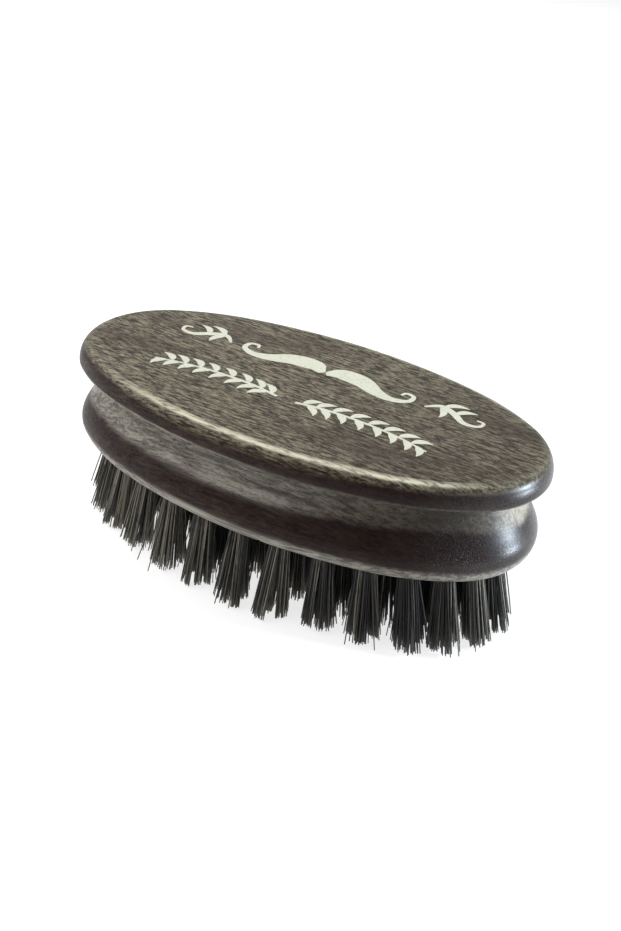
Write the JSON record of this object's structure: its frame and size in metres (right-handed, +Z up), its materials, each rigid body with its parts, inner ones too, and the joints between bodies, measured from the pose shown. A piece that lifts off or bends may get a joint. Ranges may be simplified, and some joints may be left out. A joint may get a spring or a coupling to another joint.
{
  "type": "beard brush",
  "caption": "Oval beard brush: a moulded dark-stained wooden back with a finger groove, drilled and filled with leaning tufts of dark bristle held by wire anchors.",
  "frame": {"origin": "centre of the oval on the plane of the trimmed bristle tips, which is the plane the brush stands on", "axes": "+X along the oval, +Y across it, +Z up from the bristle tips to the flat top of the back"},
  "size_m": [0.1098, 0.0582, 0.0415],
  "materials": {
    "stained_wood": "dark walnut stain under satin oil",
    "bristle": "black boar bristle, slight natural sheen",
    "anchor_wire": "flat tinned wire",
    "print_ink": "off-white pad-printed ink, slightly worn"
  },
  "bodies": {
    "root": {"wood_back": "stained_wood", "tuft_anchors": "anchor_wire", "outer_tuft_1": "bristle", "outer_tuft_2": "bristle", "outer_tuft_3": "bristle", "outer_tuft_4": "bristle", "outer_tuft_5": "bristle", "outer_tuft_6": "bristle", "outer_tuft_7": "bristle", "outer_tuft_8": "bristle", "outer_tuft_9": "bristle", "outer_tuft_10": "bristle", "outer_tuft_11": "bristle", "outer_tuft_12": "bristle", "outer_tuft_13": "bristle", "outer_tuft_14": "bristle", "outer_tuft_15": "bristle", "outer_tuft_16": "bristle", "outer_tuft_17": "bristle", "outer_tuft_18": "bristle", "outer_tuft_19": "bristle", "outer_tuft_20": "bristle", "outer_tuft_21": "bristle", "outer_tuft_22": "bristle", "outer_tuft_23": "bristle", "outer_tuft_24": "bristle", "outer_tuft_25": "bristle", "outer_tuft_26": "bristle", "outer_tuft_27": "bristle", "outer_tuft_28": "bristle", "middle_tuft_1": "bristle", "middle_tuft_2": "bristle", "middle_tuft_3": "bristle", "middle_tuft_4": "bristle", "middle_tuft_5": "bristle", "middle_tuft_6": "bristle", "middle_tuft_7": "bristle", "middle_tuft_8": "bristle", "middle_tuft_9": "bristle", "middle_tuft_10": "bristle", "middle_tuft_11": "bristle", "middle_tuft_12": "bristle", "middle_tuft_13": "bristle", "middle_tuft_14": "bristle", "middle_tuft_15": "bristle", "middle_tuft_16": "bristle", "middle_tuft_17": "bristle", "middle_tuft_18": "bristle", "middle_tuft_19": "bristle", "middle_tuft_20": "bristle", "centre_tuft_1": "bristle", "centre_tuft_2": "bristle", "centre_tuft_3": "bristle", "centre_tuft_4": "bristle", "centre_tuft_5": "bristle", "centre_tuft_6": "bristle", "centre_tuft_7": "bristle", "centre_tuft_8": "bristle", "centre_tuft_9": "bristle", "centre_tuft_10": "bristle"}
  },
  "joints": []
}
